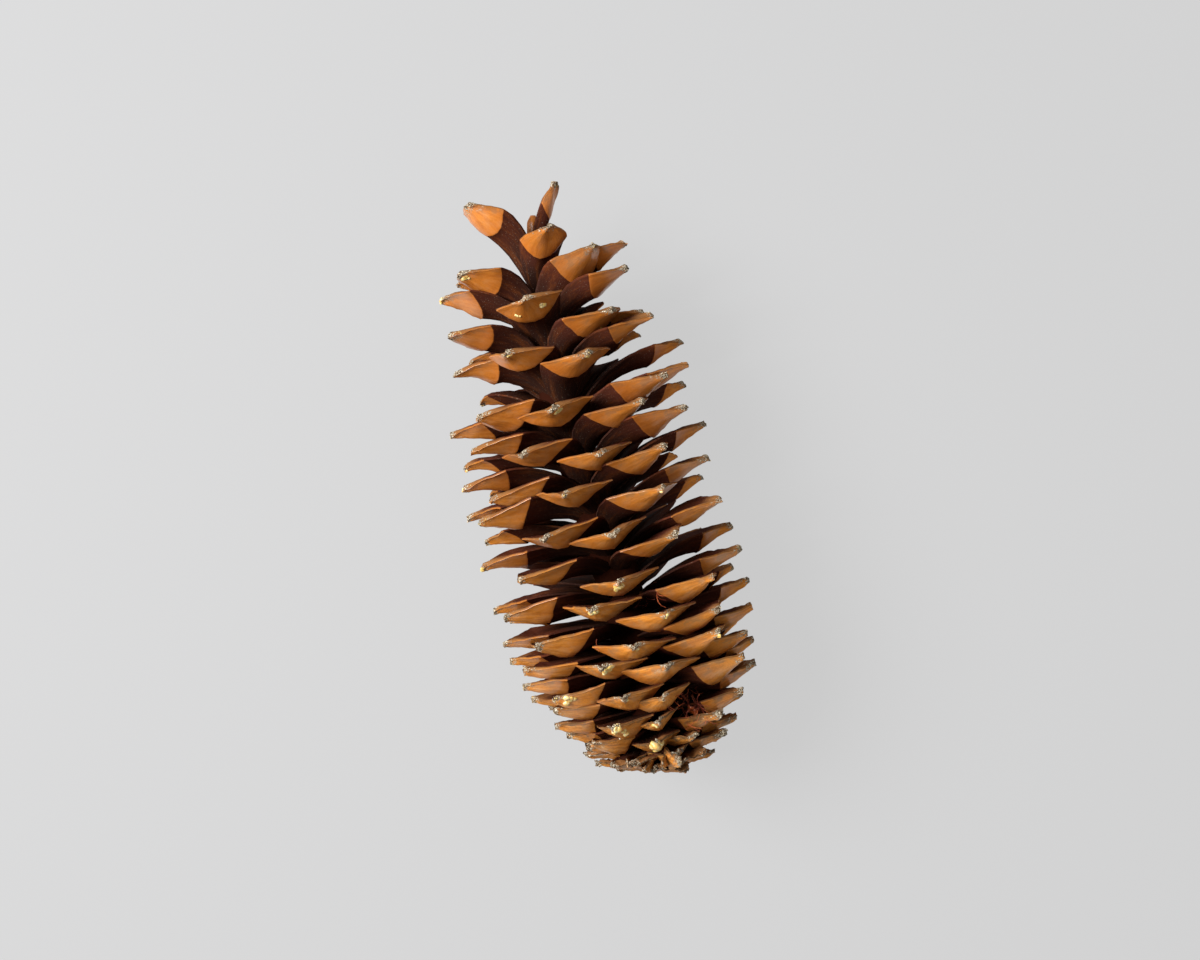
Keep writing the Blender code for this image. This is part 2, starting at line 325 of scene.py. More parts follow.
    def place(self, line: tuple[np.ndarray, ...], number: int) -> ScalePlace:
        """Places one scale.

        Args:
            line: The walked middle line.
            number: The scale's number along the spiral.

        Returns:
            The scale's place and sizes.
        """
        turn, lift, reach, lean, roll, extra_width = self.leaning(number)
        angle = math.radians(self.first_angle + self.golden_angle * number
                             + self.drift.at(number) + turn)
        tip_height = self.tip_height.at(number) + lift
        tip_radius = self.resting_reach(angle, self.tip_radius.at(number) + reach)
        slope = math.tan(math.radians(self.lean.at(number) + lean))
        middle, along, right = self.along_core(line, tip_height)
        outward = math.sin(angle) * right + math.cos(angle) * UP
        tip = middle + tip_radius * outward
        root_height = tip_height - (tip_radius - self.root_radius) * slope
        root_radius = min(self.root_radius, self.root_share * self.core.radius.at(root_height))
        root_middle, _, root_right = self.along_core(line, root_height)
        root = root_middle + root_radius * (math.sin(angle) * root_right + math.cos(angle) * UP)

        length = float(np.linalg.norm(tip - root))
        spine = (tip - root) / length
        sideways = np.cross(along, outward)
        sideways -= spine * (sideways @ spine)
        across, upper = self.rolled(spine, sideways, along, roll)
        return ScalePlace(
            number=number, root=root, spine=spine, across=across, upper=upper, length=length,
            half_width=self.width.at(number) / 2 * (1 + extra_width),
            keel=self.keel_depth.at(number) * (1 + extra_width), arch=self.arch.at(number),
            corner=1 - self.corner_from_tip.at(number) / length,
            rim=1 - self.rim_from_tip.at(number) / length, bluntness=self.bluntness.at(number),
            cup=self.cup.at(number),
        )


# Node trees


def shade(code: str) -> tuple[float, float, float, float]:
    """Linear colour from a screen colour such as c37f46."""
    parts = [int(code[i:i + 2], 16) / 255 for i in (0, 2, 4)]
    return (*[p / 12.92 if p <= 0.04045 else ((p + 0.055) / 1.055) ** 2.4 for p in parts], 1.0)


class Wire:
    """A value in a node tree, on which ordinary arithmetic adds the nodes for it."""

    def __init__(self, graph: Graph, socket: bpy.types.NodeSocket) -> None:
        """Keeps the graph and the socket that the value comes out of."""
        self.graph = graph
        self.socket = socket

    def maths(self, operation: str, *others: float | Wire) -> Wire:
        """Adds one Math node, or Vector Math where this value is a vector.

        Args:
            operation: Blender's name for the operation.
            others: What the node works on besides this value.

        Returns:
            The answer.
        """
        if self.socket.type == "VECTOR":
            scaled = operation == "MULTIPLY" and not self.is_vector(others[0])
            node = self.graph.node("ShaderNodeVectorMath",
                                   operation="SCALE" if scaled else operation)
            self.graph.plug(node.inputs[0], self)
            self.graph.plug(node.inputs["Scale" if scaled else 1], others[0])
            return Wire(self.graph, node.outputs[0])
        node = self.graph.node("ShaderNodeMath", self, *others, operation=operation)
        return Wire(self.graph, node.outputs[0])

    @staticmethod
    def is_vector(value: float | Wire) -> bool:
        """Whether a value has three parts."""
        return isinstance(value, Wire) and value.socket.type == "VECTOR"

    __add__ = __radd__ = partialmethod(maths, "ADD")
    __sub__ = partialmethod(maths, "SUBTRACT")
    __mul__ = __rmul__ = partialmethod(maths, "MULTIPLY")
    __truediv__ = partialmethod(maths, "DIVIDE")
    __pow__ = partialmethod(maths, "POWER")
    __abs__ = partialmethod(maths, "ABSOLUTE")

    def __rsub__(self, other: float) -> Wire:
        """A number less this value."""
        return self * -1.0 + other

    def step(self, low: float | Wire, high: float | Wire) -> Wire:
        """Rises smoothly from 0 at low to 1 at high."""
        node = self.graph.node("ShaderNodeMapRange", self, low, high, 0.0, 1.0,
                               interpolation_type="SMOOTHSTEP")
        return Wire(self.graph, node.outputs[0])

    def clipped(self) -> Wire:
        """The value kept between 0 and 1."""
        return Wire(self.graph, self.graph.node("ShaderNodeClamp", self, 0.0, 1.0).outputs[0])

    def parts(self) -> tuple[Wire, Wire, Wire]:
        """The three parts of a vector."""
        node = self.graph.node("ShaderNodeSeparateXYZ", self)
        return tuple(Wire(self.graph, socket) for socket in node.outputs)


class Graph:
    """Adds nodes to a geometry or shader tree, and joins them."""

    def __init__(self, tree: bpy.types.NodeTree) -> None:
        """Starts with the tree to add to."""
        self.tree = tree

    def plug(self, socket: bpy.types.NodeSocket, value: object) -> None:
        """Gives a socket its value.

        Args:
            socket: An input.
            value: A wire, another node's socket, a plain value, a colour's code, or None to
                leave the socket as it is.
        """
        if isinstance(value, Wire):
            self.tree.links.new(value.socket, socket)
        elif isinstance(value, bpy.types.NodeSocket):
            self.tree.links.new(value, socket)
        elif value is not None:
            coloured = isinstance(value, str) and socket.type == "RGBA"
            socket.default_value = shade(value) if coloured else value

    def node(self, kind: str, *values: object, **settings: object) -> bpy.types.Node:
        """Adds a node.

        Args:
            kind: Blender's name for the node.
            values: What its inputs get, in order; None leaves one as it is.
            settings: The node's own properties.

        Returns:
            The node.
        """
        node = self.tree.nodes.new(kind)
        for name, value in settings.items():
            setattr(node, name, value)
        for socket, value in zip([s for s in node.inputs if s.enabled], values):
            self.plug(socket, value)
        return node

    def fill(self, node: bpy.types.Node, **values: object) -> bpy.types.Node:
        """Gives some inputs of a node their values.

        Args:
            node: The node.
            values: What each input gets; Base_Color stands for Base Color and so on.

        Returns:
            The same node.
        """
        for name, value in values.items():
            self.plug(node.inputs[name.replace("_", " ")], value)
        return node

    def wire(self, kind: str, *values: object, **settings: object) -> Wire:
        """Adds a node and returns the value from its first working output."""
        node = self.node(kind, *values, **settings)
        return Wire(self, next(s for s in node.outputs if s.enabled))

    def noise(self, where: Wire, scale: float, detail: float = 2.0, rough: float = 0.5,
              colour: bool = False) -> Wire:
        """Cloudy noise, as a value near 0.5 or as a vector.

        Args:
            where: The coordinates.
            scale: How many clouds to a unit.
            detail: How many finer layers it has.
            rough: How strong the finer layers are.
            colour: Whether three values come out rather than one.

        Returns:
            The noise.
        """
        node = self.fill(self.node("ShaderNodeTexNoise"), Vector=where, Scale=scale,
                         Detail=detail, Roughness=rough)
        if not colour:
            return Wire(self, node.outputs[0])
        return self.wire("ShaderNodeVectorMath", node.outputs[1], (0.5, 0.5, 0.5),
                         operation="SUBTRACT")

    def vector(self, x: object, y: object, z: object) -> Wire:
        """A vector of three values."""
        return self.wire("ShaderNodeCombineXYZ", x, y, z)

    def far_off(self, draw: Wire) -> Wire:
        """How far a pattern moves for each scale, so that no two scales look alike."""
        return self.vector(draw * 900.0, draw * 500.0, draw * 700.0)

    def blend(self, share: object, first: object, second: object) -> Wire:
        """Mixes two colours.

        Args:
            share: How much of the second colour there is, from 0 to 1.
            first: A colour.
            second: A colour.

        Returns:
            The mixed colour.
        """
        node = self.node("ShaderNodeMix", data_type="RGBA", clamp_factor=True)
        for index, value in ((0, share), (6, first), (7, second)):
            self.plug(node.inputs[index], value)
        return Wire(self, node.outputs[2])


class GeometryTree(Graph):
    """A Geometry Nodes tree with named inputs, run on an object and then taken off it."""

    def __init__(self, name: str, inputs: dict[str, object]) -> None:
        """Makes the tree.

        Args:
            name: The tree's name.
            inputs: Each input's name with the value it is given.
        """
        super().__init__(bpy.data.node_groups.new(name, "GeometryNodeTree"))
        self.values = inputs
        face = self.tree.interface
        face.new_socket("Geometry", in_out="INPUT", socket_type="NodeSocketGeometry")
        face.new_socket("Geometry", in_out="OUTPUT", socket_type="NodeSocketGeometry")
        for label, value in inputs.items():
            kind = {float: "Float", int: "Int"}.get(type(value), type(value).__name__)
            face.new_socket(label, in_out="INPUT", socket_type=f"NodeSocket{kind}")
        self.source = self.tree.nodes.new("NodeGroupInput")
        self.result = self.tree.nodes.new("NodeGroupOutput")

    def given(self, name: str) -> Wire:
        """One of the tree's inputs."""
        return Wire(self, self.source.outputs[name])

    def named(self, name: str) -> Wire:
        """A vector kept on the mesh under a name."""
        return self.wire("GeometryNodeInputNamedAttribute", name, data_type="FLOAT_VECTOR")

    def store(self, geometry: object, name: str, value: Wire) -> Wire:
        """Keeps a vector on the mesh under a name."""
        return self.wire("GeometryNodeStoreNamedAttribute", geometry, None, name, value,
                         data_type="FLOAT_VECTOR", domain="POINT")

    def copies(self, points: object, shape: object, turn: object = None, size: object = None
               ) -> Wire:
        """Sets a copy of a shape on each point.

        Args:
            points: The points.
            shape: What is copied.
            turn: Each copy's rotation.
            size: Each copy's scale.

        Returns:
            The copies, made real.
        """
        node = self.fill(self.node("GeometryNodeInstanceOnPoints", points),
                         Instance=shape, Rotation=turn, Scale=size)
        return self.wire("GeometryNodeRealizeInstances", node.outputs[0])

    def end(self, geometry: Wire, material: str, sharp_over: float) -> None:
        """Ends the tree: realizes the geometry, shades it smooth and dresses it.

        Args:
            geometry: What the tree has made.
            material: Which of the tree's inputs is its material.
            sharp_over: The angle in degrees past which an edge stays sharp.
        """
        whole = self.wire("GeometryNodeRealizeInstances", geometry)
        faces = self.wire("GeometryNodeSetShadeSmooth", whole, None, True, domain="FACE")
        smooth = self.wire("GeometryNodeInputMeshEdgeAngle").maths(
            "LESS_THAN", math.radians(sharp_over))
        edges = self.wire("GeometryNodeSetShadeSmooth", faces, None, smooth, domain="EDGE")
        dressed = self.fill(self.node("GeometryNodeSetMaterial", edges),
                            Material=self.given(material))
        self.plug(self.result.inputs[0], dressed.outputs[0])

    def run(self, start: bpy.types.Object, name: str, spent: tuple[str, ...] = ()
            ) -> bpy.types.Object:
        """Runs the tree on an object.

        Args:
            start: The object that holds the points or lines to start from; it is removed.
            name: The new piece's name.
            spent: The vectors kept on the mesh that nothing needs any more.

        Returns:
            A plain mesh object.
        """
        bpy.context.scene.collection.objects.link(start)
        modifier = start.modifiers.new(self.tree.name, "NODES")
        modifier.node_group = self.tree
        for item in self.tree.interface.items_tree:
            if item.in_out == "INPUT" and item.name in self.values:
                modifier[item.identifier] = self.values[item.name]
        bpy.context.view_layer.update()
        graph = bpy.context.evaluated_depsgraph_get()
        mesh = bpy.data.meshes.new_from_object(start.evaluated_get(graph))
        mesh.name = name
        bpy.data.objects.remove(start)
        for label in spent:
            mesh.attributes.remove(mesh.attributes[label])
        piece = bpy.data.objects.new(name, mesh)
        bpy.context.scene.collection.objects.link(piece)
        return piece


# Finishes


class Effect(Enum):
    """Shader effects that more than one finish uses."""

    GRAIN = "long_grain"
    DUST = "weathering"


def effect_group(effect: Effect) -> bpy.types.NodeTree:
    """Makes an effect once, and finds it again after that.

    Args:
        effect: Which one.

    Returns:
        Its node group.
    """
    if effect.value in bpy.data.node_groups:
        return bpy.data.node_groups[effect.value]
    tree = bpy.data.node_groups.new(effect.value, "ShaderNodeTree")
    tree.interface.new_socket("Vector", in_out="INPUT", socket_type="NodeSocketVector")
    for name in ("Length", "Density"):
        tree.interface.new_socket(name, in_out="INPUT", socket_type="NodeSocketFloat")
    for name in ("Tone", "Height"):
        tree.interface.new_socket(name, in_out="OUTPUT", socket_type="NodeSocketFloat")
    graph = Graph(tree)
    source, result = tree.nodes.new("NodeGroupInput"), tree.nodes.new("NodeGroupOutput")
    where = Wire(graph, source.outputs["Vector"])
    x, y, z = where.parts()
    stretch = Wire(graph, source.outputs["Length"])
    density = Wire(graph, source.outputs["Density"])
    long_way = graph.vector(x, y / stretch, z)
    if effect is Effect.GRAIN:
        coarse = graph.noise(long_way * density, 0.45, 3.0, 0.55)
        fine = graph.noise(long_way * density, 3.2, 2.0, 0.6)
        graph.plug(result.inputs["Tone"], coarse * 0.65 + fine * 0.35)
        graph.plug(result.inputs["Height"], coarse * 0.5 + fine * 0.5)
    else:
        clouds = graph.noise(long_way * density, 0.3, 4.0, 0.65)
        specks = graph.noise(long_way * density, 2.2, 3.0, 0.7)
        graph.plug(result.inputs["Tone"], clouds.step(0.42, 0.68))
        graph.plug(result.inputs["Height"], specks.step(0.45, 0.62))
    return tree


class Finish:
    """The start of every finish: a material with a Principled shader and a graph to add to."""

    def __init__(self, name: str) -> None:
        """Makes the material.

        Args:
            name: The material's name.
        """
        self.material = bpy.data.materials.new(name)
        self.material.use_nodes = True
        self.graph = Graph(self.material.node_tree)
        self.shader = self.material.node_tree.nodes["Principled BSDF"]

    def effect(self, kind: Effect, where: Wire, length: float, density: float
               ) -> tuple[Wire, Wire]:
        """Adds a shared effect.

        Args:
            kind: Which one.
            where: The coordinates, with the grain along y.
            length: How many times longer than wide its marks are.
            density: How fine it is.

        Returns:
            Its tone and its height.
        """
        node = self.graph.node("ShaderNodeGroup", node_tree=effect_group(kind))
        self.graph.fill(node, Vector=where, Length=length, Density=density)
        return Wire(self.graph, node.outputs[0]), Wire(self.graph, node.outputs[1])

    def object_place(self) -> Wire:
        """Object coordinates."""
        return Wire(self.graph, self.graph.node("ShaderNodeTexCoord").outputs["Object"])

    def attribute(self, name: str) -> Wire:
        """A vector kept on the mesh."""
        node = self.graph.node("ShaderNodeAttribute", attribute_name=name)
        return Wire(self.graph, node.outputs["Vector"])

    def relief(self, height: Wire, strength: float, distance: float) -> None:
        """Feeds a height to the shader's Normal through a Bump node.

        Args:
            height: The height.
            strength: How strongly it shows, from 0 to 1.
            distance: How far a height of 1 stands up, in metres.
        """
        bump = self.graph.fill(self.graph.node("ShaderNodeBump"), Height=height,
                               Strength=strength, Distance=distance)
        self.give(Normal=bump.outputs[0])

    def give(self, **values: object) -> None:
        """Sets the shader's sockets."""
        self.graph.fill(self.shader, **values)


@dataclass(frozen=True)
class ScaleWood:
    """Tan exposed ends with a long grain, dark covered parts and crusted beaks."""

    tan: str = "e79437"
    # pale tone in random patches, partly a painted sheen
    light: str = "d8ae82"
    russet: str = "ac5c20"
    covered: str = "49251b"
    # painted shade deep in the cone, at the scales' roots
    deep: str = "331f19"
    inside: str = "8f633a"
    weathered: str = "a47a42"
    streak: str = "6e3a14"
    # dark brown for the darker side edges and for the painted shade outline on the margin
    grimy: str = "4a3826"
    crust: str = "d2c6ae"
    soot: str = "4e3c2a"
    matt_below: float = 55.0  # in mm over the surface that the cone lies on
    glossy_above: float = 85.0
    relief: float = 0.0009

    def material(self) -> bpy.types.Material:
        """Builds the finish from the scale's own coordinates, which start at its tip.

        Returns:
            The material.
        """
        made = Finish("scale_wood")
        graph = made.graph
        lateral, along, side = made.attribute("on_scale").parts()
        place = made.attribute("in_scale")
        side_way, long_way, _ = place.parts()
        draw, share, _ = made.attribute("nature").parts()
        apart = graph.far_off(draw)
        where = place + apart
        fanned = graph.vector(lateral * 14.0, long_way, 0.0) + apart
        tone, height = made.effect(Effect.GRAIN, fanned, 9.0, 1.0)
        clouds, specks = made.effect(Effect.DUST, where, 1.5, 0.7)
        outer = ((along - BORDER) / (1 - BORDER)).clipped()
        old = (0.4 - share).step(0.0, 0.4)
        upper = side.step(0.2, 0.9)
        # The band along the margin's edge: a painted shade outline goes on it, and it gets no
        # gloss.
        rim = (1.0 - abs(side)).step(0.05, 0.5)

        # The exposed end: tan with a grain, painted russet shade on its flanks, weathered on old
        # scales.
        tan = graph.blend(tone.step(0.38, 0.62) * 0.55 + 0.45, self.russet, self.tan)
        # Paler patches on clouds and grain: partly the wood's own tone, partly a painted sheen.
        tan = graph.blend(clouds * 0.35 + tone.step(0.5, 0.7) * 0.25, tan, self.light)
        tan = graph.blend(share.step(0.4, 0.95) * 0.5, tan, self.russet)
        # Painted shade: russet darkening toward the border, where the face curves away from the
        # light.
        painted_flank_shade = (0.5 - outer + (tone - 0.5) * 0.6).step(0.0, 0.5)
        # Darker toward the side edges and the tip's corners.
        darker_edges = (abs(lateral) + outer * 0.5 + (clouds - 0.5) * 0.5).step(0.85, 1.25)
        for amount, colour in (
            (painted_flank_shade * 0.42 + (draw - 0.5) * 0.3, self.russet),
            (old * (0.3 + 0.45 * clouds), self.weathered),
            (tone.step(0.52, 0.4) * (0.08 + 0.45 * old), self.streak),
            ((1.0 - clouds) * specks * (0.14 + 0.25 * old), self.streak),
            (darker_edges * (0.3 + 0.7 * old), self.grimy),
            # painted shade: a dark outline on the margin's edge band
            (rim * (0.6 + 0.4 * old), self.grimy),
        ):
            tan = graph.blend(amount, tan, colour)

        # The covered part: nearly black at the root as painted shade, with pale motes.
        dark = graph.blend((along / BORDER).step(0.45, 1.0), self.deep, self.covered)
        dark = graph.blend(tone.step(0.45, 0.75) * 0.25, dark, self.russet)
        motes = graph.noise(where, 2.2, 1.0).step(0.7, 0.75)
        dark = graph.blend(motes * 0.3, dark, self.crust)

        # Where they meet, and the pale edge of the upper side.
        wavering = along + (tone - 0.5) * 0.010
        exposed = wavering.step(BORDER - 0.003, BORDER + 0.005) * (1.0 - upper)
        pale_edge = (long_way + (tone - 0.5) * 8.0).step(-13.0, -3.0) * upper
        colour = graph.blend(exposed, dark, tan)
        colour = graph.blend(pale_edge * 0.8, colour, self.inside)

        # The crusted beak, and smears of crust round it.
        sideways = (side_way + (draw - 0.5) * 7.0) / 9.5
        near = 0.75 + draw * 0.4 - (sideways * sideways + (long_way / 3.4) ** 2.0) ** 0.5
        beak = (near + (specks - 0.5) * 0.5 + (clouds - 0.5) * 0.7).step(0.0, 0.25)
        crust = graph.blend(specks, self.soot, self.crust)
        colour = graph.blend(beak * (0.4 + 0.5 * share.step(0.0, 0.05)), colour, crust)
        smears = (near + 1.2 + (clouds - 0.5) * 1.6).step(0.9, 1.3) * specks
        colour = graph.blend(smears * 0.5, colour, self.crust)

        _, _, high = made.object_place().parts()
        glossy = (high / MM).step(self.matt_below, self.glossy_above) * exposed * (1.0 - rim)
        made.give(Base_Color=colour, Roughness=0.45 + 0.2 * tone + 0.3 * beak,
                  Specular_IOR_Level=0.0, Coat_Roughness=0.3,
                  Coat_Weight=0.03 + (0.6 + 0.7 * share) * glossy * (1.0 - beak))
        made.relief(height * (1.0 - 0.55 * share) + specks * beak * 0.9, 0.7, self.relief)
        return made.material


@dataclass(frozen=True)
class CoreWood:
    """Dark fibrous wood of the core and the brown bud at its end."""

    dark: str = "2a120b"
    bud: str = "9a5a20"
    grain: str = "3a1a0c"
    bud_from: float = 262.0  # height up the core, in mm
    bud_whole: float = 268.0

    def material(self) -> bpy.types.Material:
        """Builds the finish; the bud is what stands beyond the last scales.

        Returns:
            The material.
        """
        made = Finish("core_wood")
        graph = made.graph
        place = made.attribute("on_core")
        _, height_up, _ = place.parts()
        tone, relief = made.effect(Effect.GRAIN, place, 5.0, 1.0)
        bud = height_up.step(self.bud_from, self.bud_whole)
        colour = graph.blend(bud, self.dark, self.bud)
        colour = graph.blend(tone.step(0.5, 0.3) * 0.6, colour, self.grain)
        made.give(Base_Color=colour, Roughness=0.6, Specular_IOR_Level=0.0,
                  Coat_Roughness=0.35, Coat_Weight=0.6 * bud)
        made.relief(relief, 0.5, 0.0005)
        return made.material


@dataclass(frozen=True)
class Resin:
    """Hardened resin: yellow, a little clear, and glossy."""

    name: str = "resin"
    colour: str = "d0a654"
    pale: str = "ead295"

    def material(self) -> bpy.types.Material:
        """Builds the finish on Object coordinates.

        Returns:
            The material.
        """
        made = Finish(self.name)
        graph = made.graph
        place = made.object_place()
        cloudy = graph.noise(place, 500.0, 3.0).step(0.4, 0.65)
        made.give(Base_Color=graph.blend(cloudy, self.colour, self.pale), Roughness=0.35,
                  Subsurface_Weight=0.2, Subsurface_Scale=0.002, Coat_Weight=0.3,
                  Coat_Roughness=0.2)
        made.relief(graph.noise(place, 900.0, 2.0), 0.3, 0.0003)
        return made.material


@dataclass(frozen=True)
class Crust:
    """Dry grains of old resin and dirt, from nearly white to soot."""

    pale: str = "d6cbb4"
    grey: str = "94866c"
    soot: str = "4e3d2b"
    yellow: str = "d8ba68"

    def material(self) -> bpy.types.Material:
        """Builds the finish on Object coordinates, so that each grain has its own tone.

        Returns:
            The material.
        """
        made = Finish("crust")
        graph = made.graph
        place = made.object_place()
        clump = graph.noise(place, 420.0, 2.0, 0.7)
        colour = graph.blend(clump.step(0.42, 0.5), self.soot, self.grey)
        colour = graph.blend(clump.step(0.51, 0.6), colour, self.pale)
        resinous = graph.noise(place, 110.0, 1.0).step(0.54, 0.6)
        made.give(Base_Color=graph.blend(resinous * 0.75, colour, self.yellow), Roughness=0.75)
        made.relief(graph.noise(place, 2500.0, 2.0), 0.4, 0.0002)
        return made.material


@dataclass(frozen=True)
class Fibre:
    """Torn reddish fibres where scales have come away."""

    colour: str = "7a2a12"
    frayed: str = "b0562a"

    def material(self) -> bpy.types.Material:
        """Builds the finish on Object coordinates.

        Returns:
            The material.
        """
        made = Finish("fibre")
        uneven = made.graph.noise(made.object_place(), 150.0).step(0.4, 0.6)
        made.give(Base_Color=made.graph.blend(uneven, self.colour, self.frayed), Roughness=0.6)
        return made.material


# The cone's pieces


def bridge(mesh: bmesh.types.BMesh, rings: list[list[bmesh.types.BMVert]]) -> None:
    """Joins each ring of corners with the next.

    Args:
        mesh: The mesh that holds them.
        rings: The rings in order, all with the same number of corners.
    """
    for near, far in zip(rings, rings[1:]):
        for i in range(len(near)):
            j = (i + 1) % len(near)
            mesh.faces.new((near[i], near[j], far[j], far[i]))


def settled(mesh: bmesh.types.BMesh, name: str) -> bpy.types.Object:
    """Makes an object of a mesh that is being edited.

    Args:
        mesh: The mesh; it is freed.
        name: The object's name.

    Returns:
        The object, not yet in the scene.
    """
    data = bpy.data.meshes.new(name)
    mesh.to_mesh(data)
    mesh.free()
    return bpy.data.objects.new(name, data)


def marked_points(name: str, spots: list[np.ndarray | Vector], marks: dict[str, list[object]],
                  pairs: list[tuple[int, int]] | tuple = ()) -> bpy.types.Object:
    """Makes points, or lines, with vectors kept on them.

    Args:
        name: The object's name.
        spots: Where the points are, in metres.
        marks: A name for each kept vector, with its value at every point.
        pairs: Which points are joined.

    Returns:
        The object, not yet in the scene.
    """
    data = bpy.data.meshes.new(name)
    data.from_pydata([tuple(spot) for spot in spots], pairs, [])
    for mark, vectors in marks.items():
        kept = data.attributes.new(mark, "FLOAT_VECTOR", "POINT")
        kept.data.foreach_set("vector", np.array(vectors, np.float32).ravel())
    return bpy.data.objects.new(name, data)


@dataclass
class Scales:
    """All the scales, grown on their places by one Geometry Nodes tree."""

    rule: GrowthRule
    rows: tuple[float, ...] = (0.0, 0.12, 0.24, 0.35, 0.43, 0.488, 0.5, 0.515, 0.55, 0.6, 0.66,
                               0.72, 0.78, 0.83, 0.87, 0.91, 0.94, 0.97, 1.0)
    lower_points: int = 13
    upper_points: int = 11
    root_half_width: float = 3.0
    root_keel: float = 2.0
    beak_half_width: float = 1.1
    beak_keel: float = 0.85
    margin: float = 0.9
    ledge: float = 0.35
    skew: float = 2.0
    twist: float = 0.8
    beak_lift: float = 0.6
    wobble: float = 1.1
    ruggedness: float = 2.0
    sharp_over: float = 55.0
    arching: float = 4.4
    least_taper: float = 0.6

    def template(self) -> bpy.types.Object:
        """Lays one scale out flat: x across, y along and z the side, lower -1 to upper 1.

        Returns:
            The object, not yet in the scene.
        """
        def spread(count: int) -> list[float]:
            """Places from -1 to 1, closer together at the ends."""
            return [math.sin(math.pi / 2 * (2 * i / (count - 1) - 1)) for i in range(count)]

        loop = [(x, -1.0) for x in spread(self.lower_points)]
        loop += [(x, 1.0) for x in reversed(spread(self.upper_points))]
        mesh = bmesh.new()
        rings = [[mesh.verts.new((x, y, z)) for x, z in loop] for y in self.rows]
        bridge(mesh, rings)
        for ring, out in ((rings[0], False), (rings[-1], True)):
            pole = mesh.verts.new((0.0, ring[0].co.y, 0.0))
            for i in range(len(loop)):
                pair = (ring[i], ring[(i + 1) % len(loop)])
                mesh.faces.new((*(pair if out else reversed(pair)), pole))
        return settled(mesh, "scale_template")

    def taper(self, place: ScalePlace) -> float:
        """Power by which the exposed end narrows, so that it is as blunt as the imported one."""
        half_way = (1.05 - place.bluntness) / (1 - self.beak_half_width / place.half_width)
        return max(self.least_taper, math.log(half_way) / math.log(0.5))

    def points(self) -> bpy.types.Object:
        """Makes one point for each scale, with its place, directions and sizes kept on it.

        Returns:
            The object, not yet in the scene.
        """
        places = self.rule.places()
        first, last = self.rule.first_scale, self.rule.last_scale
        marks = {name: [getattr(p, name) for p in places]
                 for name in ("root", "spine", "across", "upper")}
        marks["size"] = [(p.length, p.half_width, p.keel) for p in places]
        marks["form"] = [(p.arch, p.corner, p.rim) for p in places]
        marks["taper"] = [(self.taper(p), p.cup, random.Random(p.number).uniform(-1, 1))
                          for p in places]
        # A draw of its own from 0 to 1, how far up the spiral it is, and its number.
        marks["nature"] = [(random.Random(p.number).random(),
                            (p.number - first) / (last - first), p.number) for p in places]
        return marked_points("scale_places", [p.root * MM for p in places], marks)

    def flat_form(self, tree: GeometryTree) -> tuple[Wire, Wire]:
        """Gives the template's points their places in a scale that isn't yet bent.

        Args:
            tree: The tree that grows the scales.

        Returns:
            Places across, along and above in mm, and the share of the scale's length.
        """
        x, y, side = tree.named("on_scale").parts()
        length, width, keel = tree.named("size").parts()
        _, corner, rim = tree.named("form").parts()
        taper, cup, skew = tree.named("taper").parts()
        draw, share, _ = tree.named("nature").parts()
        inner = (y / BORDER).clipped()
        outer = ((y - BORDER) / (1 - BORDER)).clipped()
        lower = (1.0 - side) * 0.5
        # The border lies farther from the tip on the keel than at the corners.
        edge_place = corner * inner + (1.0 - corner) * outer
        keel_place = rim * inner + (1.0 - rim) * outer
        wings = 1.0 - abs(x) ** (share.step(0.7, 0.9) * 0.9 + 1.4)
        place = edge_place + (keel_place - edge_place) * wings ** 1.1 * lower
        # The scale widens to its corners, then narrows to its beak, and so does its keel.
        root_width, root_keel = tree.given("Root half width"), tree.given("Root keel")
        half = root_width + (width - root_width) * inner ** 0.55
        half = half - (width - tree.given("Beak half width")) * outer ** taper
        fade = outer ** (taper * 0.6 + 0.6)
        depth = (root_keel + (keel - root_keel) * inner) * (1.0 - fade)
        depth = depth + tree.given("Beak keel") * fade
        depth = depth - tree.given("Ledge") * inner * (1.0 - y.step(0.489, 0.4995))
        below = tree.given("Margin") * -0.5 - depth * wings ** 1.15
        # The upper side is hollow at the border and fuller at the beak; its edges curl and twist.
        cup = cup + (draw - 0.5) * 5.0 * (0.3 - share).step(0.0, 0.3)
        above = tree.given("Margin") * 0.5 + (outer * 1.6 - inner * 1.2) * (1.0 - x * x)
        rise = below * lower + above * (1.0 - lower) + x * x * inner * cup
        rise = rise + inner * tree.given("Twist") * (x * math.pi).maths("SINE")
        rise = rise + outer * outer * tree.given("Beak lift")
        leaning = skew * tree.given("Skew") * outer ** 1.5
        return tree.vector(x * half + leaning, place * length, rise), place

    def roughened(self, tree: GeometryTree, local: Wire) -> Wire:
        """Bends the scale in long waves, crumbles its tip and dents it, most at the stem end.

        Args:
            tree: The tree that grows the scales.
            local: Places in the scale.

        Returns:
            The places after it.
        """
        _, y, _ = tree.named("on_scale").parts()
        draw, share, _ = tree.named("nature").parts()
        inner = (y / BORDER).clipped()
        tip = ((y - BORDER) / (1 - BORDER)).clipped().step(0.75, 1.0)
        old = (0.3 - share).step(0.0, 0.3)
        where = local + tree.far_off(draw)
        for per_mm, detail, rough, amount in (
            (0.06, 1.0, 0.5, tree.given("Wobble") * inner * (2.0 + old * 2.5)),
            (0.5, 2.0, 0.6, tree.given("Ruggedness") * (tip + 0.08 + old * inner * 1.4)),
            (0.2, 1.0, 0.5, tree.given("Wobble") * inner * (1.3 + 1.2 * old)),
        ):
            local = local + tree.noise(where * per_mm, 1.0, detail, rough, colour=True) * amount
        return local

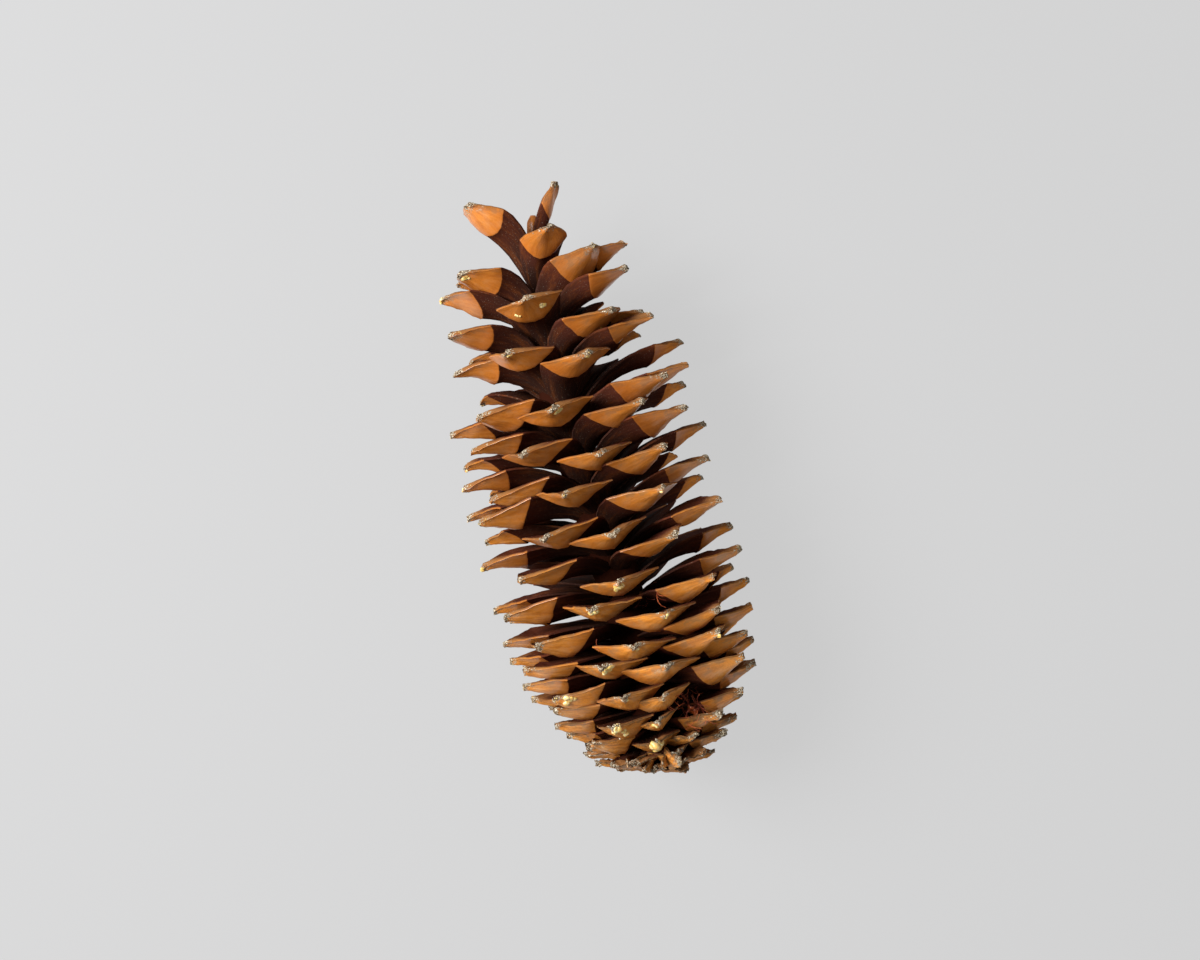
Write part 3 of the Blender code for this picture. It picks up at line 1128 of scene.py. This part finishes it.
    def build(self, wood: bpy.types.Material) -> bpy.types.Object:
        """Grows the scales.

        Args:
            wood: Their finish.

        Returns:
            One mesh of all the scales.
        """
        template = self.template()
        sizes = ("root_half_width", "root_keel", "beak_half_width", "beak_keel", "margin",
                 "ledge", "skew", "twist", "beak_lift", "wobble", "ruggedness", "arching")
        tree = GeometryTree("grow_scales", {
            "Template": template, "Wood": wood,
            **{size.replace("_", " ").capitalize(): getattr(self, size) for size in sizes},
        })
        source = tree.node("GeometryNodeObjectInfo", tree.given("Template"))
        shape = tree.store(source.outputs["Geometry"], "on_scale",
                           tree.wire("GeometryNodeInputPosition"))
        grown = tree.copies(tree.source.outputs["Geometry"], shape)

        local, place = self.flat_form(tree)
        side_way, long_way, height = self.roughened(tree, local).parts()
        length, _, _ = tree.named("size").parts()
        arch, _, _ = tree.named("form").parts()
        arching = arch * tree.given("Arching") * place * (1.0 - place)
        spot = tree.named("root") + tree.named("across") * side_way
        spot = spot + tree.named("spine") * long_way + tree.named("upper") * (height + arching)
        grown = tree.store(grown, "in_scale", tree.vector(side_way, long_way - length, height))
        east, north, high = (spot * MM).parts()
        spot = tree.vector(east, north, high.maths("MAXIMUM", 0.0))
        tree.end(tree.wire("GeometryNodeSetPosition", grown, None, spot), "Wood",
                 self.sharp_over)
        piece = tree.run(self.points(), "scales",
                         ("root", "spine", "across", "upper", "size", "form", "taper"))
        bpy.data.objects.remove(template)
        return piece


@dataclass
class Core:
    """The woody core and the grooved bud at its end."""

    rule: GrowthRule
    sides: int = 24
    step: float = 3.0
    ripple: float = 0.5
    ripples: int = 3
    ripple_turn: float = 0.35  # in radians for each mm of height
    bud_from: float = 266.0
    bud_blend: float = 3.0
    bud_step: float = 1.0
    bud_ridges: int = 6
    bud_groove: float = 0.0875  # as a share of the radius

    def radius(self, height: float, turn: float) -> float:
        """Radius of the core, which is rippled, and of the bud, which is grooved.

        Args:
            height: How far up the core, in mm.
            turn: Where round it, in radians.

        Returns:
            The radius in mm.
        """
        bud = min(max((height - self.bud_from) / self.bud_blend, 0.0), 1.0)
        groove = self.bud_groove * bud * abs(math.sin(self.bud_ridges / 2 * turn))
        wave = math.sin(self.ripples * turn + height * self.ripple_turn)
        return (self.rule.core.radius.at(height) * (1 - groove)
                + self.ripple * (1 - bud) * wave)

    def build(self, wood: bpy.types.Material) -> bpy.types.Object:
        """Lofts the core along its line.

        Args:
            wood: Its finish.

        Returns:
            The core's mesh.
        """
        line = self.rule.core.walk()
        (low, _), *_, (high, _) = self.rule.core.radius.pairs
        mesh = bmesh.new()
        kept = mesh.verts.layers.float_vector.new("on_core")
        rings = []
        for height in (*np.arange(low, self.bud_from, self.step),
                       *np.arange(self.bud_from, high + self.bud_step / 2, self.bud_step)):
            middle, _, right = self.rule.along_core(line, height)
            ring = []
            for i in range(self.sides):
                turn = 2 * math.pi * i / self.sides
                radius = self.radius(height, turn)
                spot = middle + radius * (math.sin(turn) * right + math.cos(turn) * UP)
                vertex = mesh.verts.new(Vector(spot) * MM)
                vertex[kept] = Vector((radius * math.sin(turn), height, radius * math.cos(turn)))
                ring.append(vertex)
            rings.append(ring)
        bridge(mesh, rings)
        mesh.faces.new(reversed(rings[0]))
        mesh.faces.new(rings[-1])
        for face in mesh.faces:
            face.smooth = True
        bmesh.ops.recalc_face_normals(mesh, faces=mesh.faces)
        piece = settled(mesh, "core")
        piece.data.materials.append(wood)
        bpy.context.scene.collection.objects.link(piece)
        return piece


@dataclass
class Crumbs:
    """Grains of crust on the scales' beaks, strewn by Geometry Nodes."""

    per_square_mm: float = 0.9
    grain: float = 0.26
    smallest: float = 0.4  # as shares of a grain
    largest: float = 2.0
    narrowness: float = 0.8
    flatness: float = 0.3
    patch_width: float = 12.0
    patch_length: float = 3.8
    seed: int = 5

    def density(self, tree: GeometryTree) -> Wire:
        """Works out how thickly the grains lie: most on a beak, some on the edges of old scales.

        Args:
            tree: The tree that strews the grains.

        Returns:
            Grains to a square metre.
        """
        side_way, long_way, height = tree.named("in_scale").parts()
        draw, share, _ = tree.named("nature").parts()
        lateral, _, side = tree.named("on_scale").parts()
        sideways = (side_way + (draw - 0.5) * 7.0) / self.patch_width
        near = draw + 0.3 - (sideways * sideways + (long_way / self.patch_length) ** 2.0) ** 0.5
        clump = tree.noise(tree.vector(side_way + draw * 900.0, long_way, height), 0.5, 2.0)
        margin = (abs(lateral) - 0.8).step(0.0, 0.1) * (0.25 - share).step(0.0, 0.25)
        crowd = (near + (clump - 0.5) * 2.6).step(0.0, 0.3)
        crowd = crowd + margin * (long_way + 14.0).step(0.0, 3.0) * (clump - 0.45).step(0.0, 0.2)
        from_stem_end = 0.1 + 0.9 * share.step(0.0, 0.3)
        off_upper_side = 1.0 - 0.7 * side.step(0.2, 0.9)
        return crowd * tree.given("Per square metre") * from_stem_end * off_upper_side

    def build(self, scales: bpy.types.Object, crust: bpy.types.Material) -> bpy.types.Object:
        """Strews the grains.

        Args:
            scales: The scales' mesh.
            crust: The grains' finish.

        Returns:
            One mesh of all the grains.
        """
        tree = GeometryTree("strew_crumbs", {
            "Per square metre": self.per_square_mm / MM**2, "Grain": self.grain * MM,
            "Seed": self.seed, "Crust": crust,
        })
        spread = tree.node("GeometryNodeDistributePointsOnFaces",
                           tree.source.outputs["Geometry"], None, self.density(tree))
        tree.fill(spread, Seed=tree.given("Seed"))
        ball = tree.node("GeometryNodeMeshIcoSphere", 1.0, 1).outputs["Mesh"]
        amount = tree.wire("FunctionNodeRandomValue", data_type="FLOAT") ** 2.0
        size = amount * (self.largest - self.smallest) + self.smallest
        size = size * tree.given("Grain")
        grown = tree.copies(spread.outputs["Points"], ball, spread.outputs["Rotation"],
                            tree.vector(size, size * self.narrowness, size * self.flatness))
        tree.end(grown, "Crust", 180.0)
        return tree.run(bpy.data.objects.new("crumb_ground", scales.data.copy()), "crumbs")


@dataclass(frozen=True)
class Drop:
    """One drop of resin: its scale, where on the exposed end, and how wide it is in mm."""

    scale: int
    lateral: float
    outer: float
    width: float
    lumps: int = 4


@dataclass
class ResinDrops:
    """Hardened drops of resin, each a few merged lumps on the face of a scale."""

    drops: tuple[Drop, ...] = (
        Drop(-71, -0.1, 0.8, 8.5, 8), Drop(-63, -0.7, 0.75, 3.6, 3), Drop(-58, 0.0, 0.9, 5.5, 5),
        Drop(-58, 0.15, 0.6, 5.0, 4), Drop(-45, 0.5, 0.7, 5.5, 5), Drop(-34, 0.0, 0.95, 3.5, 3),
        Drop(-37, 0.25, 0.8, 5.0, 6), Drop(-37, 0.5, 0.8, 3.0, 3), Drop(-29, 0.15, 0.8, 2.6, 2),
        Drop(-21, 0.0, 0.92, 3.0, 3), Drop(-8, 0.1, 0.85, 5.5, 7), Drop(-16, 0.1, 0.9, 4.5, 5),
        Drop(34, 0.2, 0.75, 4.0, 5), Drop(42, 0.3, 0.75, 3.4, 4), Drop(47, -0.1, 0.9, 3.0, 3),
        Drop(55, 0.5, 0.35, 3.6, 3), Drop(55, -0.6, 0.35, 2.6, 3), Drop(50, 0.2, 0.25, 2.6, 2),
        Drop(60, 0.1, 0.8, 3.2, 4), Drop(57, 0.0, 1.0, 3.4, 3), Drop(8, 0.0, 0.95, 3.0, 3),
        Drop(2, 0.0, 1.0, 3.4, 4), Drop(28, 0.0, 0.95, 2.6, 2), Drop(23, 0.0, 1.0, 2.4, 2),
        Drop(-26, 0.3, 0.9, 2.4, 2), Drop(-50, 0.2, 0.85, 2.2, 2),
    )
    flatness: float = 0.55
    seed: int = 12
    name: str = "resin_drops"
    lump: tuple[float, float] = (0.24, 0.36)  # a lump's radius, as a share of the drop's width
    spread: float = 0.42
    unevenness: float = 1.5
    dimples: float = 380.0  # to a metre
    other_scale: float = 100.0  # how much worse a seat is on another scale
    upper_side: float = 10.0  # and on the upper side

    def seats(self, scales: bpy.types.Object) -> list[tuple[Vector, Vector, float]]:
        """Finds where the lumps sit.

        Args:
            scales: The scales' mesh.

        Returns:
            Point, direction of the surface and radius for each lump.
        """
        kept = []
        for name in ("on_scale", "nature"):
            values = np.zeros(len(scales.data.vertices) * 3, np.float32)
            scales.data.attributes[name].data.foreach_get("vector", values)
            kept.append(values.reshape(-1, 3).T)
        (lateral, along, side), (_, _, number) = kept
        outer = (along - BORDER) / (1 - BORDER)
        draw = random.Random(self.seed)
        found = []
        for drop in self.drops:
            far = ((lateral - drop.lateral) ** 2 + (outer - drop.outer) ** 2
                   + self.other_scale * (np.abs(number - drop.scale) > 0.5)
                   + self.upper_side * (side > 0))
            middle = scales.data.vertices[int(far.argmin())]
            tangent = middle.normal.orthogonal()
            other_way = middle.normal.cross(tangent)
            for i in range(drop.lumps):
                angle = draw.uniform(0, 2 * math.pi)
                away = drop.width * MM * self.spread * math.sqrt(i / drop.lumps)
                near = middle.co + away * (math.cos(angle) * tangent
                                           + math.sin(angle) * other_way)
                _, spot, normal, _ = scales.closest_point_on_mesh(near)
                found.append((spot.copy(), normal.copy(), drop.width * draw.uniform(*self.lump)))
        return found

    def build(self, scales: bpy.types.Object, resin: bpy.types.Material) -> bpy.types.Object:
        """Casts the drops.

        Args:
            scales: The scales' mesh.
            resin: The drops' finish.

        Returns:
            One mesh of all the drops.
        """
        spots, normals, radii = zip(*self.seats(scales))
        start = marked_points("drop_places", spots, {
            "facing": normals, "wide": [(radius, 0.0, 0.0) for radius in radii]})
        tree = GeometryTree("cast_drops", {
            "Flatness": self.flatness, "Unevenness": self.unevenness * MM, "Resin": resin})
        ball = tree.node("GeometryNodeMeshIcoSphere", 1.0, 3).outputs["Mesh"]
        size = tree.named("wide").parts()[0] * MM
        turned = tree.fill(tree.node("FunctionNodeAlignRotationToVector", axis="Z"),
                           Vector=tree.named("facing"))
        grown = tree.copies(tree.source.outputs["Geometry"], ball, turned.outputs[0],
                            tree.vector(size, size, size * tree.given("Flatness")))
        uneven = tree.noise(tree.wire("GeometryNodeInputPosition"), self.dimples, 2.0, 0.6,
                            colour=True) * tree.given("Unevenness")
        moved = tree.wire("GeometryNodeSetPosition", grown, None, None, uneven)
        tree.end(moved, "Resin", 180.0)
        return tree.run(start, self.name, ("facing", "wide"))


@dataclass(frozen=True)
class Tuft:
    """Fibres round one place, seen from above: middle, spread, count and length in mm."""

    x: float
    y: float
    spread: float
    count: int
    length: float


@dataclass
class TornFibres:
    """Loose reddish fibres where scales have come away from the core."""

    tufts: tuple[Tuft, ...] = (
        Tuft(42.5, -108.5, 7.5, 60, 5.5), Tuft(46.0, -114.0, 6.0, 24, 7.0),
        Tuft(25.0, -57.0, 5.0, 10, 6.0), Tuft(-1.5, -79.5, 1.5, 2, 4.0),
    )
    thickness: float = 0.11
    sides: int = 5
    joints: int = 9
    bow: float = 0.18  # as shares of a fibre's length
    shake: float = 0.012
    seed: int = 33
    dropped_from: float = 400.0

    def strands(self, scales: bpy.types.Object) -> tuple[list[Vector], list[tuple[int, int]]]:
        """Lays each fibre from a point on a scale.

        Args:
            scales: The scales' mesh.

        Returns:
            Points in metres, and the pairs of points that are joined.
        """
        draw = random.Random(self.seed)
        points, pairs = [], []
        for tuft in self.tufts:
            for _ in range(tuft.count):
                turn, away = draw.uniform(0, 2 * math.pi), tuft.spread * math.sqrt(draw.random())
                above = Vector((tuft.x + away * math.cos(turn), tuft.y + away * math.sin(turn),
                                self.dropped_from)) * MM
                hit, start, _, _ = scales.ray_cast(above, Vector((0, 0, -1)))
                if not hit:
                    continue
                length = tuft.length * draw.uniform(0.5, 1.4) * MM
                heading = Vector((draw.uniform(-1, 1), draw.uniform(-1, 1),
                                  draw.uniform(0.0, 0.6))).normalized()
                bow = Vector((draw.uniform(-1, 1), draw.uniform(-1, 1), 0.8)) * length * self.bow
                first = len(points)
                for i in range(self.joints):
                    t = i / (self.joints - 1)
                    shake = Vector([draw.uniform(-1, 1) for _ in range(3)]) * length
                    points.append(start + heading * length * t + bow * math.sin(math.pi * t)
                                  + shake * self.shake)
                pairs += [(first + i, first + i + 1) for i in range(self.joints - 1)]
        return points, pairs

    def build(self, scales: bpy.types.Object, fibre: bpy.types.Material) -> bpy.types.Object:
        """Spins the fibres.

        Args:
            scales: The scales' mesh.
            fibre: The fibres' finish.

        Returns:
            One mesh of all the fibres.
        """
        points, pairs = self.strands(scales)
        tree = GeometryTree("spin_fibres", {"Thickness": self.thickness * MM, "Fibre": fibre})
        lines = tree.wire("GeometryNodeMeshToCurve", tree.source.outputs["Geometry"])
        ring = tree.fill(tree.node("GeometryNodeCurvePrimitiveCircle", self.sides),
                         Radius=tree.given("Thickness"))
        tube = tree.node("GeometryNodeCurveToMesh", lines, ring.outputs["Curve"])
        tree.fill(tube, Fill_Caps=True)
        tree.end(Wire(tree, tube.outputs[0]), "Fibre", 60.0)
        return tree.run(marked_points("fibre_lines", points, {}, pairs), "torn_fibres")


@dataclass(frozen=True)
class Studio:
    """A pale surface, soft light from above, and the camera that looks down on the cone."""

    floor_colour: str = "383839"
    floor_size: float = 6.0
    camera_place: tuple[float, float, float] = (0.71, -0.74, 893.0)  # in mm
    lens: float = 50.0
    film: float = 36.0
    light_place: tuple[float, float, float] = (-0.88, 0.22, 1.06)  # in metres
    light_aim: tuple[float, float, float] = (0.0, 0.0, 0.06)
    light_power: float = 41.5
    light_size: float = 0.8
    sky: float = 0.43
    floor_glow: float = 0.572

    def floor(self) -> None:
        """Lays the floor, which isn't part of the object."""
        bpy.ops.mesh.primitive_plane_add(size=self.floor_size)
        floor = bpy.context.object
        floor.name = "floor"
        made = Finish("floor")
        made.give(Base_Color=self.floor_colour, Roughness=0.9,
                  Emission_Color=(1.0, 1.0, 1.0, 1.0), Emission_Strength=self.floor_glow)
        floor.data.materials.append(made.material)

    def lights(self) -> None:
        """Hangs one large soft light, and lights the whole surroundings evenly."""
        world = bpy.data.worlds.new("surroundings")
        bpy.context.scene.world = world
        world.use_nodes = True
        node = world.node_tree.nodes["Background"]
        node.inputs["Color"].default_value = (1.0, 1.0, 1.0, 1.0)
        node.inputs["Strength"].default_value = self.sky
        lamp = bpy.data.lights.new("overhead", "AREA")
        lamp.shape = "DISK"
        lamp.size = self.light_size
        lamp.energy = self.light_power
        hung = bpy.data.objects.new("overhead", lamp)
        hung.location = self.light_place
        aim = Vector(self.light_aim) - hung.location
        hung.rotation_euler = aim.to_track_quat("-Z", "Y").to_euler()
        bpy.context.scene.collection.objects.link(hung)

    def camera(self) -> None:
        """Sets the camera straight above, with the apex at the top of the picture."""
        data = bpy.data.cameras.new("camera")
        data.lens = self.lens
        data.sensor_width = self.film
        data.clip_start, data.clip_end = 0.05, 20.0
        camera = bpy.data.objects.new("camera", data)
        camera.location = Vector(self.camera_place) * MM
        bpy.context.scene.collection.objects.link(camera)
        bpy.context.scene.camera = camera


def main() -> None:
    """Builds the dressed cone and the studio round it."""
    logging.basicConfig(level=logging.INFO, format="%(name)s: %(message)s")
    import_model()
    rule = GrowthRule()
    studio = Studio()
    studio.camera()
    studio.lights()
    studio.floor()
    bpy.context.scene.view_settings.view_transform = "Standard"

    scales = Scales(rule).build(ScaleWood().material())
    core = Core(rule).build(CoreWood().material())
    crumbs = Crumbs().build(scales, Crust().material())
    drops = ResinDrops().build(scales, Resin().material())
    husk = ResinDrops((Drop(-60, -0.68, -0.32, 6.5, 3),), flatness=0.95, seed=3, name="husk")
    husk = husk.build(scales, Resin("husk", "c8622a", "e0884a").material())
    fibres = TornFibres().build(scales, Fibre().material())
    for piece, slot in ((scales, "scale_wood"), (core, "scale_wood"), (crumbs, "resin"),
                        (drops, "resin"), (husk, "fibre"), (fibres, "fibre")):
        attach(piece, "root")
        LOG.info("%s: %d faces", piece.name, len(piece.data.polygons))
    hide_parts("cone")


if __name__ == "__main__":
    main()
